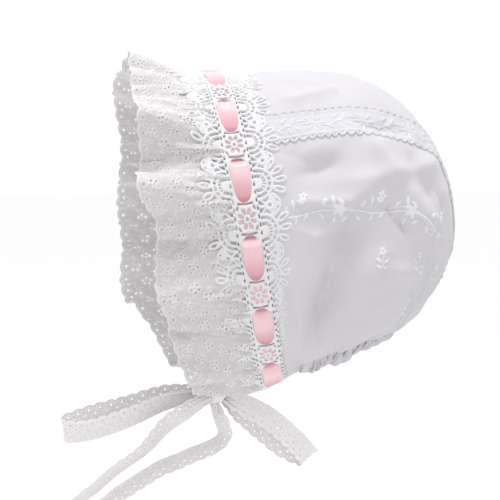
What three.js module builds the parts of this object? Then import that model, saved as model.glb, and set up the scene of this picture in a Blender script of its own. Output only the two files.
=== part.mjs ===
// Baby bonnet. Millimetres, +Z up, the face looks along -Y, the wearer's left is +X.
// Origin: the inside top of the crown, where the top of the head bears.
import * as THREE from 'three';

// ---------------------------------------------------------------- driving dimensions
const CROWN_HEIGHT = 152;      // top of the crown to the chin corner of the face seam
const CROWN_DEPTH = 124;       // face seam to the back of the crown
const CROWN_WIDTH = 124;       // reference width: the arches swell to 1.05 of it at the ears
const WALL = 1.0;              // lawn with its gathers
const GAP = 0.3;               // between neighbouring pieces
const LACE_T = 1.2;            // guipure lace
const RIBBON_W = 7.6;
const RIBBON_T = 0.5;
const SLOT_LENGTH = 20;        // oval window in the beading
const SLOT_WIDTH = 8.6;
// a flower medallion stands at the top centre, with the first windows half a pitch either side
const SLOT_PITCH = 33.5;
const BAND_HALF = 21;          // centre of the band to the root of the scallops, at the top
const FAN = 2.6;               // how far each scallop stands out
const RUFFLE_WALL = 1.0;
const SAG = 4.5;               // how far the ruffle's lower corners hang below a straight line
const FLARE = 1.593;           // how far the ruffle's edge swings out, as a multiple of its table's column
const FLARE_END = 1.6;         // where that swing would level off, in ruffle depths
const INSERT_W = 17;
const INSERT_T = 1.0;
const TIE_W = 11.5;
const TIE_T = 1.0;
const CASING_W = 6;
const CASING_T = 1.3;
const CASING_FROM = 0.14;      // t where the casing starts, behind the lace
const CASING_TO = 0.985;       // t where it turns round the nape
const NAPE_RIM = 0.055;        // its depth there, in t
const RIB = 0.5;               // how far every other gather stands out

// colours
const LAWN = 0xf4f2f3;
const EYELET = 0xf0eeef;
const SATIN = 0xf2a9b6;
const GUIPURE = 0xffffff;
const STRIP = 0xfafafa;
const TIE = 0xf6f4f5;

// ---------------------------------------------------------------- tables
// fractions of the driving dimensions:
// arches across the crown, from the face seam (t 0) to the back of the neck (t 1).
// apex_y, apex_z: the mid-plane profile; foot_*: the neck edge; hip_*, shoulder_x: how far the arch swells
const ARCH = [
  { t: 0.000, apex_y: -0.407, apex_z: -0.020, foot_x: 0.219, foot_y: -0.190, foot_z: -0.993,
    hip_x: 0.688, hip_y: -0.339, hip_z: -0.717, shoulder_x: 0.547 },
  { t: 0.150, apex_y: -0.113, apex_z: -0.002, foot_x: 0.250, foot_y: -0.081, foot_z: -0.947,
    hip_x: 0.703, hip_y: -0.065, hip_z: -0.711, shoulder_x: 0.555 },
  { t: 0.275, apex_y: 0.129, apex_z: -0.009, foot_x: 0.273, foot_y: 0.000, foot_z: -0.921,
    hip_x: 0.688, hip_y: 0.161, hip_z: -0.711, shoulder_x: 0.547 },
  { t: 0.400, apex_y: 0.327, apex_z: -0.079, foot_x: 0.284, foot_y: 0.065, foot_z: -0.898,
    hip_x: 0.641, hip_y: 0.331, hip_z: -0.704, shoulder_x: 0.508 },
  { t: 0.510, apex_y: 0.460, apex_z: -0.211, foot_x: 0.281, foot_y: 0.121, foot_z: -0.872,
    hip_x: 0.570, hip_y: 0.435, hip_z: -0.724, shoulder_x: 0.449 },
  { t: 0.660, apex_y: 0.544, apex_z: -0.421, foot_x: 0.258, foot_y: 0.173, foot_z: -0.855,
    hip_x: 0.484, hip_y: 0.452, hip_z: -0.750, shoulder_x: 0.371 },
  { t: 0.800, apex_y: 0.508, apex_z: -0.625, foot_x: 0.219, foot_y: 0.218, foot_z: -0.849,
    hip_x: 0.375, hip_y: 0.427, hip_z: -0.776, shoulder_x: 0.281 },
  { t: 0.905, apex_y: 0.403, apex_z: -0.727, foot_x: 0.184, foot_y: 0.242, foot_z: -0.842,
    hip_x: 0.258, hip_y: 0.363, hip_z: -0.803, shoulder_x: 0.180 },
  { t: 1.000, apex_y: 0.274, apex_z: -0.829, foot_x: 0.141, foot_y: 0.258, foot_z: -0.839,
    hip_x: 0.094, hip_y: 0.270, hip_z: -0.836, shoulder_x: 0.047 },
];
// folds of the lawn: a line on one side of the crown (side 1 left, -1 right), in mm;
// rise above 0 is a ridge, below 0 a valley
const FOLDS = [
  { side: 1, y0: -30, z0: -51, y1: 4, z1: -41, width: 5, rise: -2.4 },
  { side: 1, y0: -28, z0: -43, y1: 0, z1: -33, width: 6, rise: 1.4 },
  { side: 1, y0: 0, z0: -52, y1: 54, z1: -44, width: 5, rise: 2.2 },
  { side: 1, y0: 18, z0: -31, y1: 34, z1: -56, width: 5, rise: 2.2 },
  { side: 1, y0: 34, z0: -54, y1: 48, z1: -74, width: 6, rise: 2.6 },
  { side: 1, y0: 17, z0: -51, y1: -2, z1: -68, width: 5.5, rise: 2.4 },
  { side: 1, y0: 7, z0: -66, y1: -12, z1: -132, width: 8, rise: -5.0 },
  { side: 1, y0: 17, z0: -84, y1: 8, z1: -128, width: 12, rise: 2.6 },
  { side: 1, y0: 37, z0: -40, y1: 48, z1: -62, width: 5, rise: -2.2 },
  { side: 1, y0: 44, z0: -40, y1: 54, z1: -62, width: 5, rise: 1.8 },
  { side: 1, y0: -22, z0: -11, y1: 6, z1: -4, width: 4, rise: -1.2 },
  { side: 1, y0: 52, z0: -84, y1: 40, z1: -112, width: 9, rise: -2.2 },
  { side: -1, y0: -22, z0: -46, y1: 20, z1: -36, width: 6, rise: -2.2 },
  { side: -1, y0: -8, z0: -60, y1: 46, z1: -50, width: 6, rise: 2.2 },
  { side: -1, y0: 22, z0: -64, y1: 52, z1: -88, width: 7, rise: 2.4 },
  { side: -1, y0: 10, z0: -72, y1: -6, z1: -130, width: 9, rise: -4.2 },
  { side: -1, y0: 24, z0: -88, y1: 14, z1: -126, width: 12, rise: 2.4 },
  { side: -1, y0: 40, z0: -36, y1: 56, z1: -64, width: 6, rise: -2.0 },
];
// the ruffle's edge, at stations round the face seam: v -1 the right corner, 0 the top, 1 the left corner
const RUFFLE = [
  { v: -1.00, reach: 36, out: -1, up: -3 },
  { v: -0.93, reach: 41, out: 3, up: -2 },
  { v: -0.84, reach: 48, out: -5, up: 0 },
  { v: -0.74, reach: 53, out: 7, up: 0 },
  { v: -0.63, reach: 49, out: -4, up: 0 },
  { v: -0.53, reach: 47, out: 7, up: 0 },
  { v: -0.43, reach: 44, out: 2, up: 0 },
  { v: -0.33, reach: 42, out: -3, up: 0 },
  { v: -0.21, reach: 44.5, out: 8, up: 0 },
  { v: -0.09, reach: 42, out: 6.5, up: 0 },
  { v: 0.01, reach: 41, out: 9.5, up: 0 },
  { v: 0.11, reach: 42, out: 0, up: 0 },
  { v: 0.20, reach: 44, out: 3, up: 0 },
  { v: 0.285, reach: 46, out: 12, up: 0 },
  { v: 0.35, reach: 44, out: -7.5, up: 0 },
  { v: 0.437, reach: 52, out: 14, up: 0 },
  { v: 0.51, reach: 43, out: -1, up: 0 },
  { v: 0.605, reach: 45, out: -8, up: 0 },
  { v: 0.668, reach: 49, out: 8, up: 0 },
  { v: 0.74, reach: 45, out: 1, up: 0 },
  { v: 0.82, reach: 46, out: -6, up: 0 },
  { v: 0.90, reach: 42, out: 6, up: -1 },
  { v: 0.95, reach: 40, out: 2, up: -3 },
  { v: 1.00, reach: 35, out: -1, up: -4 },
];
// half widths of the lace band in front of and behind the seam, the same on both sides
const BAND = [
  { v: 0.00, front: 1.00, rear: 1.00 },
  { v: 0.50, front: 1.00, rear: 1.00 },
  { v: 0.75, front: 0.86, rear: 0.62 },
  { v: 1.00, front: 0.70, rear: 0.40 },
];
// centre of the insertion strip: mm from the mid-plane along each arch
const INSERT = [
  { t: 0.10, mid: 57.0 }, { t: 0.20, mid: 55.0 }, { t: 0.37, mid: 47.0 }, { t: 0.50, mid: 33.0 },
  { t: 0.66, mid: 25.0 }, { t: 0.80, mid: 19.0 }, { t: 0.90, mid: 14.0 }, { t: 0.98, mid: 10.5 },
];
// the straps: centre line, direction of the width, width
const STRAPS = {
  tie_left: [
    { x: 22.8, y: -21, z: -142, wx: -0.5, wy: -0.85, wz: 0.1, w: 11.5 },
    { x: 21.8, y: -27, z: -149, wx: -0.5, wy: -0.8, wz: 0.3, w: 11.0 },
    { x: 18, y: -34, z: -152.3, wx: 0.62, wy: -0.78, wz: 0.1, w: 9.5 },
    { x: 12, y: -41.5, z: -153.3, wx: 0.66, wy: -0.74, wz: 0.05, w: 7.0 },
    { x: 6, y: -46.8, z: -153.9, wx: 0.6, wy: -0.78, wz: 0.0, w: 4.6 },
  ],
  tie_right: [
    { x: -22.8, y: -21, z: -142, wx: 0.5, wy: -0.85, wz: 0.1, w: 11.5 },
    { x: -21.8, y: -27, z: -149, wx: 0.5, wy: -0.8, wz: 0.3, w: 11.0 },
    { x: -16, y: -35, z: -152.3, wx: -0.6, wy: -0.78, wz: 0.1, w: 9.5 },
    { x: -8.5, y: -42.5, z: -153.3, wx: -0.6, wy: -0.78, wz: 0.05, w: 7.0 },
    { x: -2, y: -47.4, z: -153.9, wx: -0.5, wy: -0.85, wz: 0.0, w: 4.6 },
  ],
  bow_loop_front: [
    { x: -0.6, y: -55.9, z: -159.0, wx: 0, wy: 0.1, wz: 1, w: 5.0 },
    { x: -3, y: -63, z: -159.6, wx: 0, wy: 0.1, wz: 1, w: 8.0 },
    { x: -3.5, y: -74.3, z: -161.6, wx: -0.1, wy: -0.2, wz: 1, w: 11.0 },
    { x: -3.5, y: -91.5, z: -166.4, wx: -0.15, wy: -0.25, wz: 1, w: 11.5 },
    { x: -2.5, y: -109.6, z: -170.4, wx: -0.2, wy: -0.2, wz: 1, w: 11.5 },
    { x: 0.5, y: -121.2, z: -173.6, wx: -0.2, wy: -0.15, wz: 1, w: 11.5 },
    { x: 4, y: -124.2, z: -175.0, wx: -0.15, wy: -0.1, wz: 1, w: 11.5 },
    { x: 7.5, y: -121, z: -175.8, wx: -0.1, wy: -0.15, wz: 1, w: 11.5 },
    { x: 9, y: -108.2, z: -174.2, wx: -0.1, wy: -0.2, wz: 1, w: 11.5 },
    { x: 8.5, y: -91.9, z: -169.0, wx: -0.1, wy: -0.25, wz: 1, w: 11.5 },
    { x: 6, y: -74, z: -162.8, wx: 0, wy: -0.2, wz: 1, w: 9.5 },
    { x: 4.8, y: -63, z: -160.8, wx: 0, wy: 0, wz: 1, w: 7.0 },
    { x: 4.2, y: -55.9, z: -160.4, wx: 0, wy: 0, wz: 1, w: 4.6 },
  ],
  bow_loop_back: [
    { x: 4.2, y: -42.9, z: -161.4, wx: 0.0, wy: 0.5, wz: 0.86, w: 4.6 },
    { x: 6, y: -38.8, z: -163.6, wx: 0.1, wy: 0.52, wz: 0.85, w: 7.0 },
    { x: 8, y: -33.0, z: -166.4, wx: 0.1, wy: 0.5, wz: 0.85, w: 10.0 },
    { x: 10, y: -22.5, z: -172.4, wx: 0.1, wy: 0.66, wz: 0.75, w: 11.5 },
    { x: 10.5, y: -11.4, z: -182.0, wx: 0.1, wy: 0.74, wz: 0.67, w: 11.5 },
    { x: 8.8, y: -3.4, z: -190.6, wx: 0.1, wy: 0.78, wz: 0.62, w: 11.5 },
    { x: 4.5, y: -0.6, z: -194.2, wx: 0.1, wy: 0.78, wz: 0.62, w: 11.5 },
    { x: 0, y: -3.4, z: -194.0, wx: 0.1, wy: 0.76, wz: 0.64, w: 11.5 },
    { x: -2.6, y: -12.6, z: -189.6, wx: 0.1, wy: 0.74, wz: 0.67, w: 11.5 },
    { x: -3.4, y: -23.2, z: -181.2, wx: 0.1, wy: 0.7, wz: 0.71, w: 11.0 },
    { x: -2.4, y: -33.2, z: -172.2, wx: 0.1, wy: 0.64, wz: 0.76, w: 9.0 },
    { x: -1.2, y: -39.2, z: -166.2, wx: 0.0, wy: 0.6, wz: 0.8, w: 6.5 },
    { x: -0.4, y: -43.0, z: -163.0, wx: 0.0, wy: 0.6, wz: 0.8, w: 4.6 },
  ],
  tail_front: [
    { x: 8.6, y: -51.2, z: -160.8, wx: 0.1, wy: -0.6, wz: 0.8, w: 5.0 },
    { x: 9.6, y: -58.6, z: -163.6, wx: 0.2, wy: -0.55, wz: 0.8, w: 8.0 },
    { x: 10.6, y: -68.5, z: -169.2, wx: 0.35, wy: -0.55, wz: 0.76, w: 10.5 },
    { x: 10.4, y: -76.9, z: -176.4, wx: 0.6, wy: -0.55, wz: 0.58, w: 11.5 },
    { x: 10, y: -87.0, z: -187.0, wx: 0.72, wy: -0.5, wz: 0.48, w: 11.5 },
    { x: 9.5, y: -99.0, z: -195.4, wx: 0.74, wy: -0.38, wz: 0.55, w: 11.5 },
    { x: 8.5, y: -111.8, z: -205.8, wx: 0.74, wy: -0.4, wz: 0.54, w: 11.5 },
    { x: 7.5, y: -123.2, z: -216.4, wx: 0.74, wy: -0.42, wz: 0.52, w: 11.5 },
  ],
  tail_back: [
    { x: 3.6, y: -48.6, z: -166.2, wx: 0.6, wy: 0.8, wz: 0.1, w: 4.6 },
    { x: 5, y: -46.9, z: -170.0, wx: 0.62, wy: 0.76, wz: 0.15, w: 8.0 },
    { x: 7, y: -44.9, z: -175.0, wx: 0.7, wy: 0.68, wz: 0.1, w: 10.5 },
    { x: 8.2, y: -44.6, z: -180.8, wx: 0.8, wy: 0.55, wz: -0.2, w: 11.5 },
    { x: 8.8, y: -50.4, z: -186.0, wx: 0.78, wy: 0.3, wz: -0.55, w: 11.5 },
    { x: 9, y: -62.0, z: -190.2, wx: 0.75, wy: 0.2, wz: -0.62, w: 11.5 },
    { x: 8, y: -76.0, z: -196.0, wx: 0.74, wy: 0.25, wz: -0.62, w: 11.5 },
    { x: 7, y: -91.9, z: -205.0, wx: 0.74, wy: 0.3, wz: -0.6, w: 11.5 },
    { x: 6, y: -106.2, z: -215.6, wx: 0.74, wy: 0.34, wz: -0.58, w: 11.5 },
  ],
};
const KNOT = { x: 2, y: -49.4, z: -160, rx: 5.4, ry: 5.6, rz: 5.2 };

// ---------------------------------------------------------------- helpers
const V = (x, y, z) => new THREE.Vector3(x, y, z);
const clamp01 = (x) => Math.min(1, Math.max(0, x));
function smooth(a, b, x) {
  const k = clamp01((x - a) / (b - a));
  return k * k * (3 - 2 * k);
}

// a table row at x: Catmull-Rom through the rows
function rowAt(table, key, x) {
  let i = 0;
  while (i < table.length - 2 && x > table[i + 1][key]) i++;
  const p1 = table[i], p2 = table[i + 1];
  const p0 = table[Math.max(0, i - 1)], p3 = table[Math.min(table.length - 1, i + 2)];
  const h = p2[key] - p1[key];
  const k = clamp01((x - p1[key]) / h);
  const out = {};
  for (const c of Object.keys(p1)) {
    const m1 = p0 === p1 ? (p2[c] - p1[c]) / h : (p2[c] - p0[c]) / (p2[key] - p0[key]);
    const m2 = p3 === p2 ? (p2[c] - p1[c]) / h : (p3[c] - p1[c]) / (p3[key] - p1[key]);
    const k2 = k * k, k3 = k2 * k;
    out[c] = (2 * k3 - 3 * k2 + 1) * p1[c] + (k3 - 2 * k2 + k) * h * m1
      + (3 * k2 - 2 * k3) * p2[c] + (k3 - k2) * h * m2;
  }
  return out;
}

// half an arch: points and running length, apex first
const archCache = new Map();
function arch(t) {
  const hit = archCache.get(t);
  if (hit) return hit;
  const r = rowAt(ARCH, 't', t);
  const foot = V(r.foot_x * CROWN_WIDTH, r.foot_y * CROWN_DEPTH, r.foot_z * CROWN_HEIGHT);
  const hip = V(r.hip_x * CROWN_WIDTH, r.hip_y * CROWN_DEPTH, r.hip_z * CROWN_HEIGHT);
  const apex = V(0, r.apex_y * CROWN_DEPTH, r.apex_z * CROWN_HEIGHT);
  const shoulder = V(r.shoulder_x * CROWN_WIDTH, apex.y, apex.z);
  const pts = [], len = [0];
  for (let i = 0; i <= 60; i++) {
    const u = i / 60, w = 1 - u;
    pts.push(V(0, 0, 0).addScaledVector(apex, w * w * w).addScaledVector(shoulder, 3 * w * w * u)
      .addScaledVector(hip, 3 * w * u * u).addScaledVector(foot, u * u * u));
    if (i) len.push(len[i - 1] + pts[i].distanceTo(pts[i - 1]));
  }
  const made = { pts, len, total: len[60] };
  archCache.set(t, made);
  return made;
}
function plain(t, v) {
  const a = arch(t), want = Math.abs(v) * a.total;
  let i = 0;
  while (i < 59 && a.len[i + 1] < want) i++;
  const k = (want - a.len[i]) / (a.len[i + 1] - a.len[i]);
  const p = a.pts[i].clone().lerp(a.pts[i + 1], k);
  if (v < 0) p.x = -p.x;
  return p;
}
function plainNormal(t, v) {
  const e = 0.004;
  const dt = plain(Math.min(1, t + e), v).sub(plain(Math.max(0, t - e), v));
  const dv = plain(t, Math.min(1, v + e)).sub(plain(t, Math.max(-1, v - e)));
  return dv.cross(dt).normalize();
}
// how much the folds lift the cloth at a point
function rise(p) {
  let h = 0;
  for (const f of FOLDS) {
    if (f.side * p.x < 0) continue;
    const ay = p.y - f.y0, az = p.z - f.z0, by = f.y1 - f.y0, bz = f.z1 - f.z0;
    const L = Math.hypot(by, bz);
    const k = (ay * by + az * bz) / (L * L);
    const d = (ay * bz - az * by) / L;
    const ends = smooth(-0.15, 0.25, k) * (1 - smooth(0.75, 1.15, k));
    h += f.rise * ends * Math.exp(-(d * d) / (f.width * f.width)) * smooth(0, 18, f.side * p.x);
  }
  return h;
}
function crownAt(t, v, off) {
  const p = plain(t, v);
  // the folds die out towards the face seam, the nape and the neck edge
  const fade = smooth(0.09, 0.17, t) * (1 - smooth(0.86, 0.97, t)) * (1 - smooth(0.88, 0.97, Math.abs(v)));
  return p.clone().addScaledVector(plainNormal(t, v), off + rise(p) * fade);
}

const RING = arch(0).total;                       // half the face seam
// t at a distance d behind the seam, along v
const backCache = new Map();
function behind(v, d) {
  const key = v.toFixed(5);
  let tab = backCache.get(key);
  if (!tab) {
    tab = [0];
    for (let i = 1; i <= 80; i++) tab.push(tab[i - 1] + plain(i / 80, v).distanceTo(plain((i - 1) / 80, v)));
    backCache.set(key, tab);
  }
  let i = 0;
  while (i < 79 && tab[i + 1] < d) i++;
  return Math.min(1, (i + (d - tab[i]) / (tab[i + 1] - tab[i])) / 80);
}
// the ruffle: r mm in front of the seam
function ruffleAt(v, r, off) {
  const k = r / rowAt(RUFFLE, 'v', v).reach;
  const at = (vv, kk) => {
    const row = rowAt(RUFFLE, 'v', vv);
    const outward = plainNormal(0, vv);
    outward.y = 0;
    outward.normalize();
    const swing = smooth(0.0, FLARE_END, kk) * FLARE;
    const sag = SAG * Math.sin(Math.PI * Math.min(1, kk)) * smooth(0.86, 1, Math.abs(vv));
    return plain(0, vv).add(V(0, -row.reach * kk, row.up * kk - sag)).addScaledVector(outward, row.out * swing);
  };
  const p = at(v, k);
  const e = 0.003;
  const dv = at(Math.min(1, v + e), k).sub(at(Math.max(-1, v - e), k));
  const dk = at(v, k + 0.02).sub(at(v, Math.max(0, k - 0.02)));
  const m = dk.cross(dv).normalize();
  return p.addScaledVector(m, off);
}

// ---------------------------------------------------------------- shell builder
// at(i, j, off) gives a point, keep(i, j) whether the cell is there; inner and outer skins joined by walls
function shell(ni, nj, at, inner, outer, keep = () => true) {
  const pos = [], idx = [];
  const id = new Map();
  const vert = (i, j, s) => {
    const key = (i * (nj + 1) + j) * 2 + s;
    if (!id.has(key)) {
      const p = at(i, j, s ? outer : inner);
      id.set(key, pos.length / 3);
      pos.push(p.x, p.y, p.z);
    }
    return id.get(key);
  };
  const has = (i, j) => i >= 0 && j >= 0 && i < ni && j < nj && keep(i, j);
  const quad = (a, b, c, d) => idx.push(a, b, c, a, c, d);
  for (let i = 0; i < ni; i++) for (let j = 0; j < nj; j++) {
    if (!has(i, j)) continue;
    quad(vert(i, j, 1), vert(i + 1, j, 1), vert(i + 1, j + 1, 1), vert(i, j + 1, 1));
    quad(vert(i, j, 0), vert(i, j + 1, 0), vert(i + 1, j + 1, 0), vert(i + 1, j, 0));
    if (!has(i - 1, j)) quad(vert(i, j, 0), vert(i, j, 1), vert(i, j + 1, 1), vert(i, j + 1, 0));
    if (!has(i + 1, j)) quad(vert(i + 1, j, 0), vert(i + 1, j + 1, 0), vert(i + 1, j + 1, 1), vert(i + 1, j, 1));
    if (!has(i, j - 1)) quad(vert(i, j, 0), vert(i + 1, j, 0), vert(i + 1, j, 1), vert(i, j, 1));
    if (!has(i, j + 1)) quad(vert(i, j + 1, 0), vert(i, j + 1, 1), vert(i + 1, j + 1, 1), vert(i + 1, j + 1, 0));
  }
  const g = new THREE.BufferGeometry();
  g.setAttribute('position', new THREE.Float32BufferAttribute(pos, 3));
  g.setIndex(idx);
  let vol = 0;
  for (let k = 0; k < idx.length; k += 3) {
    const p = (n) => V(pos[3 * idx[k + n]], pos[3 * idx[k + n] + 1], pos[3 * idx[k + n] + 2]);
    vol += p(0).dot(p(1).cross(p(2)));
  }
  if (vol < 0) for (let k = 0; k < idx.length; k += 3) [idx[k + 1], idx[k + 2]] = [idx[k + 2], idx[k + 1]];
  g.setIndex(idx);
  g.computeVertexNormals();
  return g;
}

const group = new THREE.Group();
group.name = 'baby_bonnet';
function add(name, geometry, color) {
  const mesh = new THREE.Mesh(geometry, new THREE.MeshStandardMaterial({ color, roughness: 0.9 }));
  mesh.name = name;
  group.add(mesh);
}

// the sheet round the face seam: d mm behind the seam, or in front of it when negative
const SEAM_BLEND = 9;          // the normals of crown and ruffle pass into each other over this, either side
function ringSheet(v, d, off) {
  const back = crownAt(behind(v, Math.max(d, 0)), v, 0);
  const front = ruffleAt(v, Math.max(-d, 0), 0);
  const base = d >= 0 ? back : front;
  const backNormal = crownAt(behind(v, Math.max(d, 0)), v, 1).sub(back);
  const frontNormal = ruffleAt(v, Math.max(-d, 0), 1).sub(front);
  const k = smooth(-SEAM_BLEND, SEAM_BLEND, d);
  return base.addScaledVector(frontNormal.lerp(backNormal, k).normalize(), off);
}

// ---------------------------------------------------------------- stations round the face seam
// shared by every ring piece
const CUTS = [-0.5, -0.33, -0.12, 0.12, 0.33, 0.5];    // within a window
const END_MARGIN = 2.5;                                // no window nearer than this to the end of the seam
const windows = [];
for (let c = SLOT_PITCH / 2; c < RING; c += SLOT_PITCH) windows.push(c, -c);
windows.sort((a, b) => a - b);
const stations = [-RING, 0, RING];
for (const c of windows) {
  const cuts = CUTS.map((k) => c + k * SLOT_LENGTH);
  stations.push(...cuts.filter((s) => Math.abs(s) < RING - END_MARGIN));
  const medallion = c + SLOT_PITCH / 2;
  if (medallion < RING - 4 && Math.abs(medallion) > 1) stations.push(medallion);
}
stations.sort((a, b) => a - b);
const NS = stations.length - 1;
const vs = stations.map((s) => s / RING);
const isWhole = (c) => Math.abs(c) + SLOT_LENGTH / 2 < RING - END_MARGIN;
const inWindow = (s) => windows.some((c) => Math.abs(s - c) < SLOT_LENGTH / 2 && isWhole(c));
// half the width of an oval window at s, and of the strip's middle between windows
const windowHalf = (s) => {
  const c = windows.find((w) => Math.abs(s - w) < SLOT_LENGTH / 2 + 0.01);
  if (c === undefined) return SLOT_WIDTH * 0.3;
  const k = Math.abs(s - c) / (SLOT_LENGTH / 2);
  return SLOT_WIDTH * (k > 0.9 ? 0.22 : k > 0.5 ? 0.48 : 0.5);
};
const scallop = (s) => FAN * Math.abs(Math.cos((Math.PI * s) / (SLOT_PITCH * 2 / 3)));

// crown
const crownV = vs.filter((_, i) => i % 2 === 0 || i === NS);
const NT = 21;
const rowT = (j) => 0.002 + 0.998 * j / NT;
add('crown', shell(crownV.length - 1, NT, (i, j, off) => crownAt(rowT(j), crownV[i], off), 0, WALL), LAWN);

// ruffle
const ROWS = [0, 0.2, 0.42, 0.62, 0.82, 1];
add('ruffle', shell(NS, 5, (i, j, off) => {
  const reach = rowAt(RUFFLE, 'v', vs[i]).reach;
  return ruffleAt(vs[i], GAP + (reach - GAP) * ROWS[j], off);
}, 0, RUFFLE_WALL), EYELET);

// ribbon, swelling out in the windows
const RIBBON_IN = WALL + GAP;
const SWELL = 1.4;
add('ribbon', shell(NS, 2, (i, j, off) => {
  const s = stations[i];
  let swell = 0;
  if (inWindow(s)) {
    for (const c of windows) swell = Math.max(swell, SWELL * smooth(0.34, 0.12, Math.abs(s - c) / SLOT_LENGTH));
  }
  const side = (j - 1) * RIBBON_W / 2;
  return ringSheet(vs[i], side, off + swell * (j === 1 ? 1.15 : 0.75));
}, RIBBON_IN, RIBBON_IN + RIBBON_T), SATIN);

// beading lace
const LACE_IN = RIBBON_IN + RIBBON_T + GAP;
const MIDLINE = 0.62 * BAND_HALF;
add('lace_band', shell(NS, 5, (i, j, off) => {
  const s = stations[i], row = rowAt(BAND, 'v', Math.abs(vs[i]));
  const h = windowHalf(s), rim = BAND_HALF + scallop(s);
  const across = [-rim * row.front, -MIDLINE * row.front, -h, h, MIDLINE * row.rear, rim * row.rear];
  return ringSheet(vs[i], across[j], off);
}, LACE_IN, LACE_IN + LACE_T, (i, j) => !(j === 2 && inWindow((stations[i] + stations[i + 1]) / 2))), GUIPURE);

// insertion strips
for (const side of [1, -1]) {
  const ts = [];
  for (let j = 0; j <= NT; j++) if (rowT(j) > 0.13 && rowT(j) < 0.94) ts.push(rowT(j));
  ts.unshift(0.112);
  add(side > 0 ? 'insertion_left' : 'insertion_right', shell(ts.length - 1, 3, (i, j, off) => {
    const t = ts[i], total = arch(t).total;
    const across = rowAt(INSERT, 't', t).mid + (j / 3 - 0.5) * INSERT_W * (1 - 0.25 * smooth(0.75, 0.95, t));
    return crownAt(t, side * across / total, off);
  }, WALL + 2 * GAP, WALL + 2 * GAP + INSERT_T), STRIP);
}

// neck casing: down the left edge, round the nape, up the right edge; ribbed like gathers
const edge = [];
for (let k = 0; k <= 15; k++) {
  const t = CASING_FROM + (CASING_TO - CASING_FROM) * k / 15;
  edge.push([t, 1, t, 1 - CASING_W / arch(t).total]);
}
const napeT = 1 - NAPE_RIM;
edge[edge.length - 1][2] = napeT;
const right = edge.map(([t, v, ti, vi]) => [t, -v, ti, -vi]).reverse();
for (let k = 1; k <= 7; k++) {
  const v = 1 - 2 * k / 8;
  edge.push([1, v, napeT, v * (1 - CASING_W / arch(1).total)]);
}
edge.push(...right);
add('neck_casing', shell(edge.length - 1, 1, (i, j, off) => {
  const [t0, v0, t1, v1] = edge[i];
  const rib = off > WALL + 4 * GAP && i % 2 ? RIB : 0;
  return j ? crownAt(t1, v1, off + rib) : crownAt(t0, v0, off + rib);
}, WALL + 3 * GAP, WALL + 3 * GAP + CASING_T), LAWN);

// straps
function strap(rows, steps) {
  const keyed = rows.map((r, k) => ({ ...r, k }));
  const n = (rows.length - 1) * steps;
  const p = (k) => rowAt(keyed, 'k', Math.min(rows.length - 1, Math.max(0, k)));
  return shell(n, 1, (i, j, off) => {
    const k = i / steps, r = p(k), a = p(k - 0.05), b = p(k + 0.05);
    const along = V(b.x - a.x, b.y - a.y, b.z - a.z).normalize();
    const wide = V(r.wx, r.wy, r.wz);
    wide.addScaledVector(along, -wide.dot(along)).normalize();
    const flat = along.clone().cross(wide).normalize();
    return V(r.x, r.y, r.z).addScaledVector(wide, (j - 0.5) * r.w).addScaledVector(flat, off);
  }, -TIE_T / 2, TIE_T / 2);
}
for (const [name, rows] of Object.entries(STRAPS)) add(name, strap(rows, name.startsWith('bow') ? 2 : 3), TIE);

// knot
const knot = new THREE.SphereGeometry(1, 12, 8);
knot.scale(KNOT.rx, KNOT.ry, KNOT.rz);
knot.translate(KNOT.x, KNOT.y, KNOT.z);
add('bow_knot', knot, TIE);

export default group;
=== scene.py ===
import bpy, math
import numpy as np
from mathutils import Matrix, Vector


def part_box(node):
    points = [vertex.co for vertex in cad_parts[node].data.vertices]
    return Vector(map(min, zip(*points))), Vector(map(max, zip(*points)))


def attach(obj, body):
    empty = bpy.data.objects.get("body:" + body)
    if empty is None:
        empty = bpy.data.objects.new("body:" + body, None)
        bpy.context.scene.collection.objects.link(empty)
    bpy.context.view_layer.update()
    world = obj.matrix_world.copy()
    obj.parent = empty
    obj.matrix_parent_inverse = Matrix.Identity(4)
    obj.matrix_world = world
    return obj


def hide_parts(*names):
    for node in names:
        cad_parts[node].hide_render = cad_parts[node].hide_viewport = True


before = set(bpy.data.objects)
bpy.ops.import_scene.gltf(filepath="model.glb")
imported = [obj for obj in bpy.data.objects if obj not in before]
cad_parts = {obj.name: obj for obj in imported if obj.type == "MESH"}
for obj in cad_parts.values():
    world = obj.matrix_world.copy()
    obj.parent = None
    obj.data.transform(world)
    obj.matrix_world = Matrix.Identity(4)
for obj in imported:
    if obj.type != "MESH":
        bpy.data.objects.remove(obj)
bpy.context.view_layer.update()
scene = bpy.context.scene

# ------------------------------------------------------------------ camera, floor, light
TARGET = Vector((0.0, -0.030, -0.0885))
YAW, TILT, DIST = math.radians(10.5), math.radians(6.0), 0.850
away = Vector((math.cos(YAW) * math.cos(TILT), -math.sin(YAW) * math.cos(TILT), math.sin(TILT)))
cam_data = bpy.data.cameras.new("camera")
cam_data.sensor_width, cam_data.lens = 36.0, 36.0 * DIST / 0.250
cam_data.clip_start = 0.01
cam = bpy.data.objects.new("camera", cam_data)
cam.location = TARGET + away * DIST
cam.rotation_euler = away.to_track_quat("Z", "Y").to_euler()
scene.collection.objects.link(cam)
scene.camera = cam
scene.view_settings.view_transform = "Standard"


def light(name, at, size, power, color=(1, 1, 1)):
    d = bpy.data.lights.new(name, "AREA")
    d.shape, d.size, d.energy, d.color = "DISK", size, power, color
    o = bpy.data.objects.new(name, d)
    o.location = at
    o.rotation_euler = (Vector(at) - TARGET).to_track_quat("Z", "Y").to_euler()
    scene.collection.objects.link(o)


light("key", (0.14, 0.00, 1.15), 0.30, 8.9, (0.98, 0.985, 1.0))
light("fill", (1.1, -0.9, 0.35), 1.0, 1.3, (1.0, 0.98, 0.99))
world = bpy.data.worlds.new("world")
scene.world = world
world.use_nodes = True
sky_tree = world.node_tree
sky_tree.nodes["Background"].inputs[0].default_value = (1.0, 1.0, 1.0, 1)
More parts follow.
